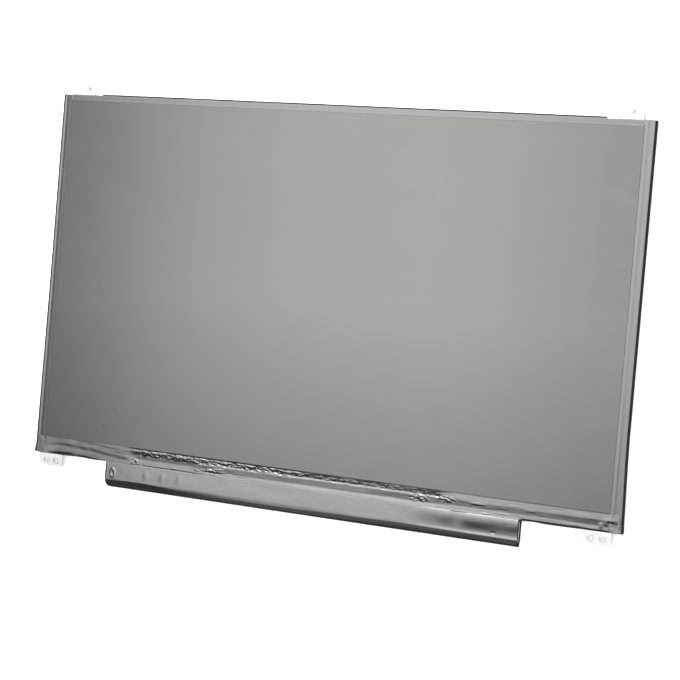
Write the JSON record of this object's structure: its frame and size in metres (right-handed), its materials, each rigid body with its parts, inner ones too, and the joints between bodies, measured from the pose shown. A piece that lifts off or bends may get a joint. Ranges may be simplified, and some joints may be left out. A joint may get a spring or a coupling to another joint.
{
  "type": "laptop screen panel",
  "caption": "Slim liquid crystal display module for a laptop lid, with screw ears at its corners and a driver board in a black film sleeve along the lower edge.",
  "frame": {"origin": "centre of the body outline on the flat back of the rear cover", "axes": "+X along the long side to the right as seen from the front, +Y from the driver board to the top edge, +Z out of the screen"},
  "size_m": [0.3064, 0.1961, 0.0033],
  "materials": {
    "cover_metal": "satin rolled sheet",
    "rail_steel": "bright stamped steel",
    "frame_plastic": "white moulded polycarbonate",
    "reflector_film": "white diffuse film",
    "guide_acrylic": "clear polished acrylic",
    "diffuser_film": "frosted film",
    "prism_film": "ribbed clear film",
    "flexible_circuit": "white coated flexible circuit",
    "lamp_body": "white body with yellow phosphor",
    "mounting_tape": "black adhesive tape",
    "rear_polariser_film": "grey polarising film",
    "cell_glass": "thin polished glass",
    "screen_polariser": "glossy dark polarising film",
    "driver_film": "amber film with fine traces",
    "chip_black": "black moulded package",
    "board_green": "green solder mask over laminate",
    "inductor_grey": "pressed ferrite",
    "capacitor_tan": "tan ceramic with plated ends",
    "socket_plastic": "ivory moulded plastic",
    "shell_steel": "tinned steel",
    "contact_gold": "gold plated",
    "black_film": "glossy black polyester film"
  },
  "bodies": {
    "root": {"board_capacitors": "capacitor_tan", "board_sleeve": "black_film", "cell_mounting_tape": "mounting_tape", "colour_filter_glass": "cell_glass", "driver_board": "board_green", "driver_chips": "chip_black", "driver_films": "driver_film", "front_polariser": "screen_polariser", "lamp_driver_chip": "chip_black", "left_edge_film": "black_film", "left_side_rail": "rail_steel", "light_bar_lamps": "lamp_body", "light_bar_socket": "socket_plastic", "light_bar_strip": "flexible_circuit", "light_guide_plate": "guide_acrylic", "lower_diffuser_sheet": "diffuser_film", "lower_edge_film": "black_film", "lower_prism_sheet": "prism_film", "mould_frame": "frame_plastic", "power_inductor": "inductor_grey", "rear_cover": "cover_metal", "rear_polariser": "rear_polariser_film", "reflector_sheet": "reflector_film", "right_edge_film": "black_film", "right_side_rail": "rail_steel", "thin_film_glass": "cell_glass", "timing_chip": "chip_black", "upper_diffuser_sheet": "diffuser_film", "upper_edge_film": "black_film", "upper_prism_sheet": "prism_film", "video_connector_contacts": "contact_gold", "video_connector_housing": "socket_plastic", "video_connector_shell": "shell_steel"}
  },
  "joints": []
}
